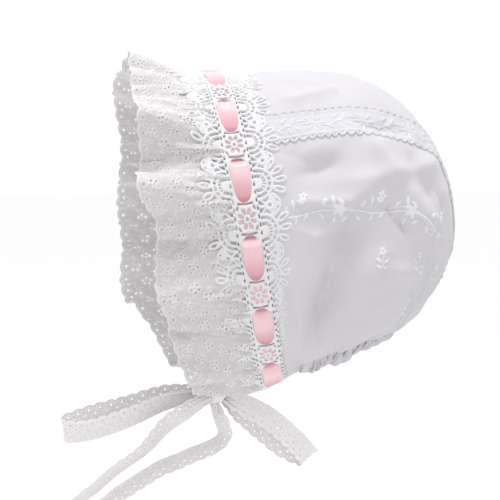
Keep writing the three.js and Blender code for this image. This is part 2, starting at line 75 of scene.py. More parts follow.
# a pale studio: white at the horizon, brighter overhead
sky = sky_tree.nodes.new("ShaderNodeTexCoord")
split = sky_tree.nodes.new("ShaderNodeSeparateXYZ")
sky_rise = sky_tree.nodes.new("ShaderNodeMapRange")
sky_tree.links.new(sky.outputs["Generated"], split.inputs[0])
sky_tree.links.new(split.outputs["Z"], sky_rise.inputs["Value"])
sky_rise.inputs["From Min"].default_value, sky_rise.inputs["From Max"].default_value = 0.15, 1.0
sky_rise.inputs["To Min"].default_value, sky_rise.inputs["To Max"].default_value = 1.0, 1.18
sky_tree.links.new(sky_rise.outputs["Result"], sky_tree.nodes["Background"].inputs[1])

# ------------------------------------------------------ driving dimensions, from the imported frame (mm)
lo, hi = (1000 * np.array(c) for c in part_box("crown"))
HEIGHT = (hi[2] - lo[2]) * 0.9986
DEPTH = (hi[1] - lo[1]) * 1.0457
WIDTH = (hi[0] - lo[0]) * 0.9496
WALL, GAP, RIBBON_T = 1.0, 0.3, 0.5
SLOT_LENGTH, SLOT_WIDTH, SLOT_PITCH = 20.0, 8.6, 33.5
FAN_PITCH, FAN_PHASE = SLOT_PITCH * 0.6, 6.5
INSERT_W, TIE_W, CASING_W = 17.0, 11.5, 6.0
NAPE_RUN = 62.0        # about the length of one side of the neck edge, from the face to the nape
HALF_SEAM = 190        # how far creases and tucks are scattered to each side
CREASE_COUNT, TUCK_COUNT = 230, 60
FIFTH_TURN = 1.257     # angle between two of a flower's five petals, in radians

# t, apex_y, apex_z, foot_x, foot_y, foot_z, hip_x, hip_y, hip_z, shoulder_x:
# fractions of the driving dimensions
ARCH = np.array([
    (0, -0.407, -0.02, 0.219, -0.19, -0.993, 0.688, -0.339, -0.717, 0.547),
    (0.15, -0.113, -0.002, 0.25, -0.081, -0.947, 0.703, -0.065, -0.711, 0.555),
    (0.275, 0.129, -0.009, 0.273, 0, -0.921, 0.688, 0.161, -0.711, 0.547),
    (0.4, 0.327, -0.079, 0.284, 0.065, -0.898, 0.641, 0.331, -0.704, 0.508),
    (0.51, 0.46, -0.211, 0.281, 0.121, -0.872, 0.57, 0.435, -0.724, 0.449),
    (0.66, 0.544, -0.421, 0.258, 0.173, -0.855, 0.484, 0.452, -0.75, 0.371),
    (0.8, 0.508, -0.625, 0.219, 0.218, -0.849, 0.375, 0.427, -0.776, 0.281),
    (0.905, 0.403, -0.727, 0.184, 0.242, -0.842, 0.258, 0.363, -0.803, 0.18),
    (1, 0.274, -0.829, 0.141, 0.258, -0.839, 0.094, 0.27, -0.836, 0.047),
])
# side, y0, z0, y1, z1, width, rise: a fold line in mm on one side, rise > 0 a ridge
FOLDS = [
    (1, -30, -51, 4, -41, 5, -2.4),
    (1, -28, -43, 0, -33, 6, 1.4),
    (1, 0, -52, 54, -44, 5, 2.2),
    (1, 18, -31, 34, -56, 5, 2.2),
    (1, 34, -54, 48, -74, 6, 2.6),
    (1, 17, -51, -2, -68, 5.5, 2.4),
    (1, 7, -66, -12, -132, 8, -5),
    (1, 17, -84, 8, -128, 12, 2.6),
    (1, 37, -40, 48, -62, 5, -2.2),
    (1, 44, -40, 54, -62, 5, 1.8),
    (1, -22, -11, 6, -4, 4, -1.2),
    (1, 52, -84, 40, -112, 9, -2.2),
    (-1, -22, -46, 20, -36, 6, -2.2),
    (-1, -8, -60, 46, -50, 6, 2.2),
    (-1, 22, -64, 52, -88, 7, 2.4),
    (-1, 10, -72, -6, -130, 9, -4.2),
    (-1, 24, -88, 14, -126, 12, 2.4),
    (-1, 40, -36, 56, -64, 6, -2),
]
# finer creases of the lawn, same columns
CREASES = [
    (1, -20, -60, 8, -60, 3, 0.8),
    (1, -14, -78, 2, -70, 3, 0.7),
    (1, 22, -60, 34, -76, 3, -0.9),
    (1, 26, -92, 46, -96, 5, 0.9),
    (1, 12, -112, 30, -104, 4, 0.8),
    (1, -26, -88, -14, -120, 4, 0.9),
    (1, -20, -14, 8, -8, 2.5, 0.9),
    (1, 10, -24, 40, -30, 3, -0.7),
    (-1, -16, -64, 14, -58, 3, 0.8),
    (-1, 30, -74, 50, -70, 4, -0.9),
    (-1, 8, -20, 40, -24, 3, -0.7),
]
# v, reach, out, up
RUFFLE = np.array([
    (-1, 36, -1, -3),
    (-0.93, 41, 3, -2),
    (-0.84, 48, -5, 0),
    (-0.74, 53, 7, 0),
    (-0.63, 49, -4, 0),
    (-0.53, 47, 7, 0),
    (-0.43, 44, 2, 0),
    (-0.33, 42, -3, 0),
    (-0.21, 44.5, 8, 0),
    (-0.09, 42, 6.5, 0),
    (0.01, 41, 9.5, 0),
    (0.11, 42, 0, 0),
    (0.2, 44, 3, 0),
    (0.285, 46, 12, 0),
    (0.35, 44, -7.5, 0),
    (0.437, 52, 14, 0),
    (0.51, 43, -1, 0),
    (0.605, 45, -8, 0),
    (0.668, 49, 8, 0),
    (0.74, 45, 1, 0),
    (0.82, 46, -6, 0),
    (0.9, 42, 6, -1),
    (0.95, 40, 2, -3),
    (1, 35, -1, -4),
])
# v, front, rear
BAND = np.array([(0, 1, 1), (0.5, 1, 1), (0.75, 0.86, 0.62), (1, 0.70, 0.40)])
# t, mid
INSERT = np.array([
    (0.10, 57), (0.20, 55), (0.37, 47), (0.50, 33),
    (0.66, 25), (0.80, 19), (0.90, 14), (0.98, 10.5),
])
STRAPS = {  # x, y, z of the centre line, direction of the width x, y, z, width
    "tie_left": [
        (22.8, -21, -142, -0.5, -0.85, 0.1, 11.5),
        (21.8, -27, -149, -0.5, -0.8, 0.3, 11.0),
        (18, -34, -152.3, 0.62, -0.78, 0.1, 9.5),
        (12, -41.5, -153.3, 0.66, -0.74, 0.05, 7.0),
        (6, -46.8, -153.9, 0.6, -0.78, 0.0, 4.6),
    ],
    "tie_right": [
        (-22.8, -21, -142, 0.5, -0.85, 0.1, 11.5),
        (-21.8, -27, -149, 0.5, -0.8, 0.3, 11.0),
        (-16, -35, -152.3, -0.6, -0.78, 0.1, 9.5),
        (-8.5, -42.5, -153.3, -0.6, -0.78, 0.05, 7.0),
        (-2, -47.4, -153.9, -0.5, -0.85, 0.0, 4.6),
    ],
    "bow_loop_front": [
        (-0.6, -55.9, -159.0, 0, 0.1, 1, 5.0),
        (-3, -63, -159.6, 0, 0.1, 1, 8.0),
        (-3.5, -74.3, -161.6, -0.1, -0.2, 1, 11.0),
        (-3.5, -91.5, -166.4, -0.15, -0.25, 1, 11.5),
        (-2.5, -109.6, -170.4, -0.2, -0.2, 1, 11.5),
        (0.5, -121.2, -173.6, -0.2, -0.15, 1, 11.5),
        (4, -124.2, -175.0, -0.15, -0.1, 1, 11.5),
        (7.5, -121, -175.8, 0.08, -0.15, 1, 11.5),
        (9, -108.2, -174.2, 0.28, -0.2, 1, 11.5),
        (8.5, -91.9, -169.0, 0.32, -0.25, 1, 11.5),
        (6, -74, -162.8, 0.25, -0.2, 1, 9.5),
        (4.8, -63, -160.8, 0, 0, 1, 7.0),
        (4.2, -55.9, -160.4, 0, 0, 1, 4.6),
    ],
    "bow_loop_back": [
        (4.2, -42.9, -161.4, 0.0, 0.5, 0.86, 6.6),
        (6, -38.8, -163.6, 0.1, 0.52, 0.85, 9.2),
        (8, -33.0, -166.4, 0.1, 0.5, 0.85, 11.2),
        (10, -22.5, -172.4, 0.1, 0.66, 0.75, 11.5),
        (10.5, -11.4, -182.0, 0.1, 0.74, 0.67, 11.5),
        (8.8, -3.4, -190.6, 0.1, 0.78, 0.62, 11.5),
        (4.5, -0.6, -194.2, 0.1, 0.78, 0.62, 11.5),
        (0, -3.4, -194.0, 0.1, 0.76, 0.64, 11.5),
        (-2.6, -12.6, -189.6, 0.1, 0.74, 0.67, 11.5),
        (-3.4, -23.2, -181.2, 0.1, 0.7, 0.71, 11.0),
        (-2.4, -33.2, -172.2, 0.1, 0.64, 0.76, 10.8),
        (-1.2, -39.2, -166.2, 0.0, 0.6, 0.8, 8.6),
        (-0.4, -43.0, -163.0, 0.0, 0.6, 0.8, 6.2),
    ],
    "tail_front": [
        (8.6, -51.2, -160.8, 0.1, -0.6, 0.8, 5.0),
        (9.6, -58.6, -163.6, 0.2, -0.55, 0.8, 8.0),
        (10.6, -68.5, -169.2, 0.35, -0.55, 0.76, 10.5),
        (10.4, -76.9, -176.4, 0.6, -0.55, 0.58, 11.5),
        (10, -87.0, -187.0, 0.72, -0.5, 0.48, 11.5),
        (9.5, -99.0, -195.4, 0.74, -0.38, 0.55, 11.5),
        (8.5, -111.8, -205.8, 0.74, -0.4, 0.54, 11.5),
        (7.5, -123.2, -216.4, 0.74, -0.42, 0.52, 11.5),
    ],
    "tail_back": [
        (3.4, -48.9, -163.9, 0.6, 0.8, 0.1, 6.4),
        (5, -46.9, -170.0, 0.62, 0.76, 0.15, 8.0),
        (7, -44.9, -175.0, 0.7, 0.68, 0.1, 10.5),
        (8.2, -44.6, -180.8, 0.8, 0.55, -0.2, 11.5),
        (8.8, -50.4, -186.0, 0.78, 0.3, -0.55, 11.5),
        (9, -62.0, -190.2, 0.75, 0.2, -0.62, 11.5),
        (8, -76.0, -196.0, 0.74, 0.25, -0.62, 11.5),
        (7, -91.9, -205.0, 0.74, 0.3, -0.6, 11.5),
        (6, -106.2, -215.6, 0.74, 0.34, -0.58, 11.5),
    ],
}
KNOT = (2.0, -49.4, -160.0)


# ------------------------------------------------------------------ surfaces (mm)
def ease(a, b, x):
    k = np.clip((x - a) / (b - a), 0, 1)
    return k * k * (3 - 2 * k)


def rows_at(table, x):
    """Catmull-Rom through the rows of a table whose first column is the key."""
    x = np.asarray(x, float)
    k, p = table[:, 0], table
    h = np.diff(k)
    tan = np.empty_like(p)
    tan[1:-1] = (p[2:] - p[:-2]) / (k[2:] - k[:-2])[:, None]
    tan[0], tan[-1] = (p[1] - p[0]) / h[0], (p[-1] - p[-2]) / h[-1]
    i = np.clip(np.searchsorted(k, x, "right") - 1, 0, len(k) - 2)
    u = np.clip((x - k[i]) / h[i], 0, 1)[..., None]
    hh = h[i][..., None]
    return ((2 * u**3 - 3 * u**2 + 1) * p[i] + (u**3 - 2 * u**2 + u) * hh * tan[i]
            + (3 * u**2 - 2 * u**3) * p[i + 1] + (u**3 - u**2) * hh * tan[i + 1])


def unit(a):
    return a / (np.linalg.norm(a, axis=-1, keepdims=True) + 1e-12)


def run_along(line):
    """The distance along a line of points, from its first point to each one."""
    return np.concatenate([[0], np.cumsum(np.linalg.norm(np.diff(line, axis=0), axis=-1))])


def between(rows, columns, grid, a, b):
    """The value of a grid between its points, for keys a of its rows and b of its columns."""
    i = np.clip(np.interp(a, rows, np.arange(len(rows))), 0, len(rows) - 1.0001)
    j = np.clip(np.interp(b, columns, np.arange(len(columns))), 0, len(columns) - 1.0001)
    i0, j0 = i.astype(int), j.astype(int)
    u, w = (i - i0)[..., None], (j - j0)[..., None]
    return (grid[i0, j0] * (1 - u) * (1 - w) + grid[i0 + 1, j0] * u * (1 - w)
            + grid[i0, j0 + 1] * (1 - u) * w + grid[i0 + 1, j0 + 1] * u * w)


class Patch:
    """A grid of points over two parameters a, b, with outward normals."""

    def __init__(self, a, b, pts, flip=1):
        self.a, self.b, self.p = a, b, pts
        self.n = flip * unit(np.cross(np.gradient(pts, axis=1), np.gradient(pts, axis=0)))

    def turn_up(self, i, j):
        """Turns all the normals over if the one at i, j points down."""
        if self.n[i, j, 2] < 0:
            self.n *= -1

    def mix(self, grid, a, b):
        return between(self.a, self.b, grid, a, b)

    def at(self, a, b, off=0.0):
        a, b = np.broadcast_arrays(np.asarray(a, float), np.asarray(b, float))
        return self.mix(self.p, a, b) + unit(self.mix(self.n, a, b)) * np.asarray(off)[..., None]


def arches(ts, vs):
    """plain crown: rows for t, columns for v from -1 to 1, and each arch's half length."""
    r = rows_at(ARCH, ts)
    foot = r[:, 3:6] * (WIDTH, DEPTH, HEIGHT)
    hip = r[:, 6:9] * (WIDTH, DEPTH, HEIGHT)
    apex = np.stack([0 * ts, r[:, 1] * DEPTH, r[:, 2] * HEIGHT], -1)
    shoulder = apex + np.stack([r[:, 9] * WIDTH, 0 * ts, 0 * ts], -1)
    u = np.linspace(0, 1, 121)[None, :, None]
    pts = ((1 - u)**3 * apex[:, None] + 3 * (1 - u)**2 * u * shoulder[:, None]
           + 3 * (1 - u) * u**2 * hip[:, None] + u**3 * foot[:, None])
    step = np.linalg.norm(np.diff(pts, axis=1), axis=-1)
    run = np.concatenate([np.zeros((len(ts), 1)), np.cumsum(step, 1)], 1)
    out = np.empty((len(ts), len(vs), 3))
    for i in range(len(ts)):
        for c in range(3):
            out[i, :, c] = np.interp(np.abs(vs) * run[i, -1], run[i], pts[i, :, c])
    out[:, vs < 0, 0] *= -1
    return out, run[:, -1]


NT, NV = 261, 801
ts, vs = np.linspace(0, 1, NT), np.linspace(-1, 1, NV)
plain_pts, total = arches(ts, vs)
RING = total[0]
plain = Patch(ts, vs, plain_pts)
plain.turn_up(NT // 4, NV // 2)
rng = np.random.default_rng(7)


def waves(x, pitch, seed, spread=0.35):
    """an uneven wave: gathers and pleats of about the given pitch"""
    r = np.random.default_rng(seed)
    out = 0
    for k in range(5):
        length = pitch * (1 + spread * (r.random() - 0.5) * 2)
        out = out + np.sin(2 * math.pi * x / length + 6.28 * r.random())
    return out / 2.2


def crisp(x):
    """a fold's height across it: a narrow ridge with a slightly rounded top"""
    return np.exp(0.45 - np.sqrt(x**2 + 0.2))


def fold_lift(p, table):
    h = np.zeros(p.shape[:-1])
    for side, y0, z0, y1, z1, width, rise in table:
        by, bz = y1 - y0, z1 - z0
        length = math.hypot(by, bz)
        ay, az = p[..., 1] - y0, p[..., 2] - z0
        k = (ay * by + az * bz) / length**2
        d = (ay * bz - az * by) / length
        ridge = 0.3 * np.exp(-(d / width)**2) + 0.85 * crisp(d / (0.8 * width))
        h += rise * ease(-0.15, 0.25, k) * (1 - ease(0.75, 1.15, k)) * ridge * ease(0, 18, side * p[..., 0])
    return h


T2, V2 = np.meshgrid(ts, vs, indexing="ij")
lift = (1.35 * fold_lift(plain_pts, FOLDS) * ease(0.09, 0.17, T2) * (1 - ease(0.86, 0.97, T2))
        * (1 - ease(0.88, 0.97, np.abs(V2))))
creases = (2.5 * fold_lift(plain_pts, CREASES) * ease(0.05, 0.11, T2) * (1 - ease(0.93, 1.0, np.abs(V2)))
           * (1 - ease(0.9, 0.99, T2)))
# crisp creases from washing and folding, anywhere on the crown, in mm along and across it
SM, QM = V2 * total[:, None], T2 * 240.0
crease_rng = np.random.default_rng(9)
for k in range(CREASE_COUNT):
    cs, cq = crease_rng.uniform(-HALF_SEAM, HALF_SEAM), crease_rng.uniform(18, 235)
    turn = crease_rng.uniform(0, math.pi)
    half, width = crease_rng.uniform(8, 26), crease_rng.uniform(1.4, 3.4)
    high = crease_rng.uniform(0.3, 1.1) * math.sqrt(9 / half) * crease_rng.choice((1, 1, -1))
    u = (SM - cs) * math.cos(turn) + (QM - cq) * math.sin(turn)
    w = -(SM - cs) * math.sin(turn) + (QM - cq) * math.cos(turn) + 0.012 * u**2 * crease_rng.uniform(-1, 1)
    creases += high * crisp(w / width) * ease(half * 1.4, 0.0, np.abs(u)) * ease(0.05, 0.11, T2)
# gathers above the neck casing: how far a point is from the neck edge, and where along it
to_side = (1 - np.abs(V2)) * total[:, None]
to_nape = (1 - T2) * NAPE_RUN
near_edge = np.minimum(to_side, to_nape)
along_edge = np.where(to_side < to_nape, T2 * NAPE_RUN, NAPE_RUN + np.abs(1 - np.abs(V2)) * 20)
along_edge = along_edge * np.sign(V2 + 1e-9)
gather = (waves(along_edge, 4.2, 3) * 0.7 * np.exp(-near_edge / 9.0)
          + waves(along_edge, 10.5, 4) * 1.1 * np.exp(-near_edge / 26.0)) * ease(0.10, 0.2, T2)
crown = Patch(ts, vs, plain_pts + plain.n * (lift + creases + gather)[..., None])
crown.turn_up(NT // 4, NV // 2)

# distance behind the seam, in mm, to t
behind_d = np.linspace(0, 60, 121)
steps_t = np.linalg.norm(np.diff(plain_pts, axis=0), axis=-1)
run_t = np.concatenate([np.zeros((1, NV)), np.cumsum(steps_t, 0)], 0)
behind_t = np.stack([np.interp(behind_d, run_t[:, j], ts) for j in range(NV)], 1)[..., None]


def behind(v, d):
    return between(behind_d, vs, behind_t, np.maximum(d, 0), v)[..., 0]


# the ruffle over k, from the seam (0) to the edge (1)
ks = np.linspace(0, 1, 81)
rv = np.linspace(-1, 1, 1601)
seam_p, seam_n = plain.at(0 * rv, rv), plain.mix(plain.n, 0 * rv, rv)
seam_n[:, 1] = 0
seam_n = unit(seam_n)
fold_rows = rows_at(RUFFLE, rv)
K2, RV2 = np.meshgrid(ks, rv, indexing="ij")
flare = (ease(0, 1.6, K2) * (1.593 + 0.25 * ease(0.05, 0.15, np.abs(RV2)) * (fold_rows[:, 2] > 0)))[..., None]
sag = 4.5 * np.sin(math.pi * K2) * ease(0.86, 1.0, np.abs(RV2))
forward = np.stack([0 * K2, -fold_rows[:, 1] * K2, fold_rows[:, 3] * K2 - sag], -1)
broad = seam_p[None] + forward + seam_n[None] * fold_rows[:, 2][None, :, None] * flare
ruffle_plain = Patch(ks, rv, broad)
ruffle_plain.turn_up(5, 800)
S2 = RV2 * RING
gathers = waves(S2, 5.2, 11) * 0.55 * np.exp(-((K2 - 0.22) / 0.28)**2) * ease(0.02, 0.12, K2)
flutes = waves(S2, 15.0, 12) * 1.9 * ease(0.15, 0.9, K2)
tucks = np.zeros_like(S2)
# sharp folds that fall from the gathers
for k in range(TUCK_COUNT):
    start, lean = rng.uniform(-HALF_SEAM, HALF_SEAM), rng.uniform(-9, 9)
    width, high = rng.uniform(0.9, 2.2), rng.uniform(0.5, 1.5)
    sharp = np.exp(-np.abs(S2 - start - lean * K2) / width)
    tucks += high * sharp * ease(0.0, 0.2, K2) * ease(1.3, rng.uniform(0.2, 1.0), K2)
flutes = flutes + tucks
ruffle = Patch(ks, rv, broad + ruffle_plain.n * (gathers + flutes)[..., None])
ruffle.turn_up(5, 800)

# the sheet round the seam, d mm behind it or, negative, in front of it
ring_d = np.concatenate([np.linspace(-26, -1, 26), [-0.5, 0, 0.5], np.linspace(1, 26, 26)])
ring_v = np.linspace(-1, 1, 1201)
D2, RING_V = np.meshgrid(ring_d, ring_v, indexing="ij")
reach = rows_at(RUFFLE, RING_V)[..., 1]
back_t, front_k = behind(RING_V, D2), np.maximum(-D2, 0) / reach
back_n, front_n = crown.mix(crown.n, back_t, RING_V), ruffle_plain.mix(ruffle_plain.n, front_k, RING_V)
blend = ease(-9, 9, D2)[..., None]
ring_pts = np.where(D2[..., None] >= 0, crown.at(back_t, RING_V), ruffle_plain.at(front_k, RING_V))
ring = Patch(ring_d, ring_v, ring_pts)
ring.n = unit(front_n * (1 - blend) + back_n * blend)


# ------------------------------------------------------------------ meshes
def mesh_object(name, verts, faces, mat, uv=None, paint=None):
    """verts in mm; faces an (n, 3) or (n, 4) array; uv in mm per vertex; paint a 0..1 value per vertex"""
    me = bpy.data.meshes.new(name)
    verts, faces = np.asarray(verts, np.float32) / 1000, np.asarray(faces, np.int32)
    me.vertices.add(len(verts))
    me.vertices.foreach_set("co", verts.ravel())
    n = faces.shape[1]
    me.loops.add(faces.size)
    me.loops.foreach_set("vertex_index", faces.ravel())
    me.polygons.add(len(faces))
    me.polygons.foreach_set("loop_start", np.arange(0, faces.size, n, dtype=np.int32))
    me.polygons.foreach_set("use_smooth", np.full(len(faces), True))
    me.update(calc_edges=True)
    if uv is not None:
        layer = me.uv_layers.new(name="flat")
        layer.data.foreach_set("uv", (np.asarray(uv, np.float32)[faces.ravel()] / 100.0).ravel())
    if paint is not None:
        at = me.attributes.new("paint", "FLOAT", "POINT")
        at.data.foreach_set("value", np.asarray(paint, np.float32))
    me.materials.append(mat)
    o = bpy.data.objects.new(name, me)
    scene.collection.objects.link(o)
    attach(o, "root")
    return o


def grid_faces(ni, nj, keep=None):
    i, j = np.meshgrid(np.arange(ni - 1), np.arange(nj - 1), indexing="ij")
    q = np.stack([i * nj + j, (i + 1) * nj + j, (i + 1) * nj + j + 1, i * nj + j + 1], -1)
    return q[keep] if keep is not None else q.reshape(-1, 4)


def relief(name, s_span, d_span, step, field, place, mat):
    """Cloth or lace cut from a pattern. field(s, d) gives how far inside the pattern a point is
    (mm, negative outside), its height and a paint value. place(s, d, height) puts it on the surface.
    Grid points next to an edge move onto it."""
    s = np.linspace(*s_span, max(2, int(round((s_span[1] - s_span[0]) / step)) + 1))
    d = np.linspace(*d_span, max(2, int(round((d_span[1] - d_span[0]) / step)) + 1))
    S, D = np.meshgrid(s, d, indexing="ij")
    f, _, _ = field(S, D)
    inside = f > 0
    keep = inside[:-1, :-1] | inside[1:, :-1] | inside[1:, 1:] | inside[:-1, 1:]
    ds, dd = s[1] - s[0], d[1] - d[0]
    gs, gd = np.gradient(f, ds, dd)
    g2 = np.maximum(gs**2 + gd**2, 0.05)
    out = ~inside
    move = np.where(out, -f / g2, 0)
    S = S + np.clip(move * gs, -ds, ds)
    D = D + np.clip(move * gd, -dd, dd)
    f, h, paint = field(S, D)
    h = np.where(out, 0.0, h)
    faces = grid_faces(len(s), len(d), keep)
    used, inv = np.unique(faces, return_inverse=True)
    s_used, d_used = S.ravel()[used], D.ravel()[used]
    p = place(s_used, d_used, h.ravel()[used])
    flat = np.stack([s_used, d_used], -1)
    return mesh_object(name, p, inv.reshape(faces.shape), mat, flat, paint.ravel()[used])


# pattern pieces: each gives the distance inside, positive within
def disc(x, y, r):
    return r - np.hypot(x, y)


def cord(x, y, ax, ay, bx, by, w):
    k = np.clip(((x - ax) * (bx - ax) + (y - ay) * (by - ay)) / ((bx - ax)**2 + (by - ay)**2), 0, 1)
    return w / 2 - np.hypot(x - ax - k * (bx - ax), y - ay - k * (by - ay))


def hoop(x, y, r, w):
    return w / 2 - np.abs(np.hypot(x, y) - r)


def oval(x, y, rx, ry, p=2.0):
    q = (np.abs(x / rx)**p + np.abs(y / ry)**p)**(1 / p)
    return (1 - q) * min(rx, ry)


def dome(f, width, height):
    k = np.clip(f / width, 0, 1)
    return height * np.sqrt(np.clip(k * (2 - k), 0, 1))


def wrap(x, period, phase=0.0):
    return (x - phase + period / 2) % period - period / 2


# ------------------------------------------------------------------ materials
WEAVE_MM, LINES_MM = 0.35, 0.6


def material(name, color, rough, *, weave=0.0, noise=0.0, noise_mm=2.0, sheen=0.0, aniso=0.0,
             vary=0.03, through=0.0, dark=None, lines=0.0, glow=0.0):
    """A cloth: weave, noise and lines are bump strengths, dark the colour where paint is 0."""
    m = bpy.data.materials.new(name)
    m.use_nodes = True
    nt = m.node_tree
    b = nt.nodes["Principled BSDF"]
    b.inputs["Roughness"].default_value = rough
    if sheen:
        b.inputs["Sheen Weight"].default_value = sheen
        b.inputs["Sheen Roughness"].default_value = 0.4
    if aniso:
        b.inputs["Anisotropic"].default_value = aniso
    if through:
        b.inputs["Subsurface Weight"].default_value = through
        b.inputs["Subsurface Radius"].default_value = (1.0, 0.95, 0.95)
        b.inputs["Subsurface Scale"].default_value = 0.0015
    new = nt.nodes.new
    coord = new("ShaderNodeTexCoord")
    uvn = new("ShaderNodeUVMap")
    uvn.uv_map = "flat"
    # colour: soft cloudy variation
    n1 = new("ShaderNodeTexNoise")
    n1.inputs["Scale"].default_value = 38.0
    n1.inputs["Detail"].default_value = 3.0
    nt.links.new(coord.outputs["Object"], n1.inputs["Vector"])
    ramp = new("ShaderNodeValToRGB")
    c = np.array(color)
    ramp.color_ramp.elements[0].position, ramp.color_ramp.elements[1].position = 0.3, 0.7
    ramp.color_ramp.elements[0].color = (*(c * (1 - vary)), 1)
    ramp.color_ramp.elements[1].color = (*np.minimum(c * (1 + vary * 0.6), 1), 1)
    nt.links.new(n1.outputs["Fac"], ramp.inputs["Fac"])
    col = ramp.outputs["Color"]
    if dark is not None:
        at = new("ShaderNodeAttribute")
        at.attribute_name = "paint"
        mix = new("ShaderNodeMix")
        mix.data_type = "RGBA"
        mix.inputs[6].default_value = (*dark, 1)
        nt.links.new(at.outputs["Fac"], mix.inputs[0])
        nt.links.new(col, mix.inputs[7])
        col = mix.outputs[2]
    nt.links.new(col, b.inputs["Base Color"])
    bump_in = None

    def bump(height, strength, distance):
        """One more layer of relief, over the layers before it."""
        bp = new("ShaderNodeBump")
        bp.inputs["Strength"].default_value = strength
        bp.inputs["Distance"].default_value = distance
        nt.links.new(height, bp.inputs["Height"])
        if bump_in:
            nt.links.new(bump_in.outputs["Normal"], bp.inputs["Normal"])
        return bp

    if weave:
        parts = []
        for direction in ("X", "Y"):
            w = new("ShaderNodeTexWave")
            w.bands_direction = direction
            w.inputs["Scale"].default_value = 31.4 / WEAVE_MM
            w.inputs["Distortion"].default_value = 0.6
            w.inputs["Detail"].default_value = 1.0
            nt.links.new(uvn.outputs["UV"], w.inputs["Vector"])
            parts.append(w.outputs["Fac"])
        add = new("ShaderNodeMath")
        add.operation = "ADD"
        nt.links.new(parts[0], add.inputs[0])
        nt.links.new(parts[1], add.inputs[1])
        bump_in = bump(add.outputs[0], weave, 0.0001)
    if noise:
        n2 = new("ShaderNodeTexNoise")
        n2.inputs["Scale"].default_value = 1000.0 / noise_mm / 3
        n2.inputs["Detail"].default_value = 4.0
        nt.links.new(coord.outputs["Object"], n2.inputs["Vector"])
        bump_in = bump(n2.outputs["Fac"], noise, 0.0006)
    if lines:
        w = new("ShaderNodeTexWave")
        w.bands_direction = "Y"
        w.inputs["Scale"].default_value = 31.4 / LINES_MM
        w.inputs["Distortion"].default_value = 1.5
        nt.links.new(uvn.outputs["UV"], w.inputs["Vector"])
        bump_in = bump(w.outputs["Fac"], lines, 0.0001)
    if bump_in:
        nt.links.new(bump_in.outputs["Normal"], b.inputs["Normal"])
    if glow:
        # thin cloth lets light through
        tr, mx = new("ShaderNodeBsdfTranslucent"), new("ShaderNodeMixShader")
        nt.links.new(col, tr.inputs["Color"])
        mx.inputs[0].default_value = glow
        nt.links.new(b.outputs[0], mx.inputs[1])
        nt.links.new(tr.outputs[0], mx.inputs[2])
        nt.links.new(mx.outputs[0], nt.nodes["Material Output"].inputs["Surface"])
    return m


lawn = material("lawn", (0.60, 0.585, 0.61), 0.85, weave=0.25, noise=0.3, noise_mm=5.0, sheen=0.1, glow=0.15)
eyelet = material("eyelet", (0.74, 0.72, 0.73), 0.85, weave=0.25, noise=0.25, noise_mm=3.0, sheen=0.1,
                  glow=0.22, dark=(0.60, 0.578, 0.588))
lace = material("lace", (0.66, 0.65, 0.665), 0.8, noise=0.5, noise_mm=0.8, sheen=0.1, through=0.1)
net = material("net", (0.59, 0.58, 0.605), 0.8, noise=0.35, noise_mm=0.9, dark=(0.53, 0.52, 0.555))
tie_cloth = material("tie", (0.74, 0.715, 0.73), 0.85, noise=0.3, noise_mm=1.2, dark=(0.66, 0.635, 0.65))
# the satin's dark colour is painted shade and shadow on the ribbon, laid where its paint values are low
satin = material("satin", (0.78, 0.53, 0.57), 0.25, sheen=0.35, aniso=0.5, lines=0.12, vary=0.05,
                 dark=(0.52, 0.225, 0.27))

# ------------------------------------------------------------------ crown
a, b = np.linspace(0.002, 1, 221), np.linspace(-1, 1, 431)
A, B = np.meshgrid(a, b, indexing="ij")
o = mesh_object("crown_cloth", crown.at(A, B, 0.8).reshape(-1, 3), grid_faces(len(a), len(b)), lawn,
                np.stack([(B * RING).ravel(), (A * 239).ravel()], -1))
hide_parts("crown")

# ------------------------------------------------------------------ ruffle
edge_run = run_along(ruffle.at(0.8 + 0 * rv, rv))
EDGE = edge_run[-1]


def ruffle_field(u, r):
    """u along the ruffle, r from the seam (0) to the edge (47): scallops, rows of eyelets, small flowers"""
    a1 = wrap(u, 7.0)
    edge = 45.9 + 1.1 * np.abs(np.cos(math.pi * u / 7.0)) - r
    f, h = edge, 0.12 + 0.5 * np.exp(-((edge - 0.6) / 0.5)**2)
    holes = [(a1, r - 43.9, 0.62), (wrap(u, 7.0, 3.5), r - 42.9, 0.45)]
    flowers = ((14.0, 0.0, (39.4, 28.6)), (14.0, 7.0, (34.2, 23.0, 13.5)), (21.0, 4.0, (18.0, 7.5)))
    for period, phase, rows in flowers:
        for row in rows:
            a2, y = wrap(u, period, phase + 0.35 * row), r - row
            holes.append((a2, y, 0.45))
            for k in range(5):
                turn = k * FIFTH_TURN
                holes.append((a2 - 1.95 * math.cos(turn), y - 1.95 * math.sin(turn), 0.52))
            holes += [(a2 - 4.1, y - 1.4, 0.42), (a2 + 4.1, y + 1.0, 0.42)]
    for x, y, w in holes:
        q = np.hypot(x, y) - w
        f = np.minimum(f, q)
        h = np.maximum(h, 0.12 + 0.42 * np.exp(-((q - 0.42) / 0.36)**2))
    return f, h, ease(0.14, 0.45, h)


def ruffle_place(u, r, h):
    v = np.interp(u, edge_run, rv)
    k = GAP / 45 + r / 47.1 * (1 - GAP / 45)
    return ruffle.at(k, v, 0.3 + h)


for name, span in (("ruffle_right", (0, EDGE / 2)), ("ruffle_left", (EDGE / 2, EDGE))):
    o = relief(name, span, (0, 47.2), 0.46, ruffle_field, ruffle_place, eyelet)
    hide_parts("ruffle")

# ------------------------------------------------------------------ ribbon
def pucker(s):
    """Where a point of the evenly repeating lace lies along the seam, in mm from the top."""
    k = np.abs(s)
    upper = 3.2 * ease(18, 48, k) * (1 - ease(84, 118, k))
    lower = 1.2 * ease(118, 150, k) * (1 - ease(170, 190, k))
    return s - np.sign(s) * (upper - lower)


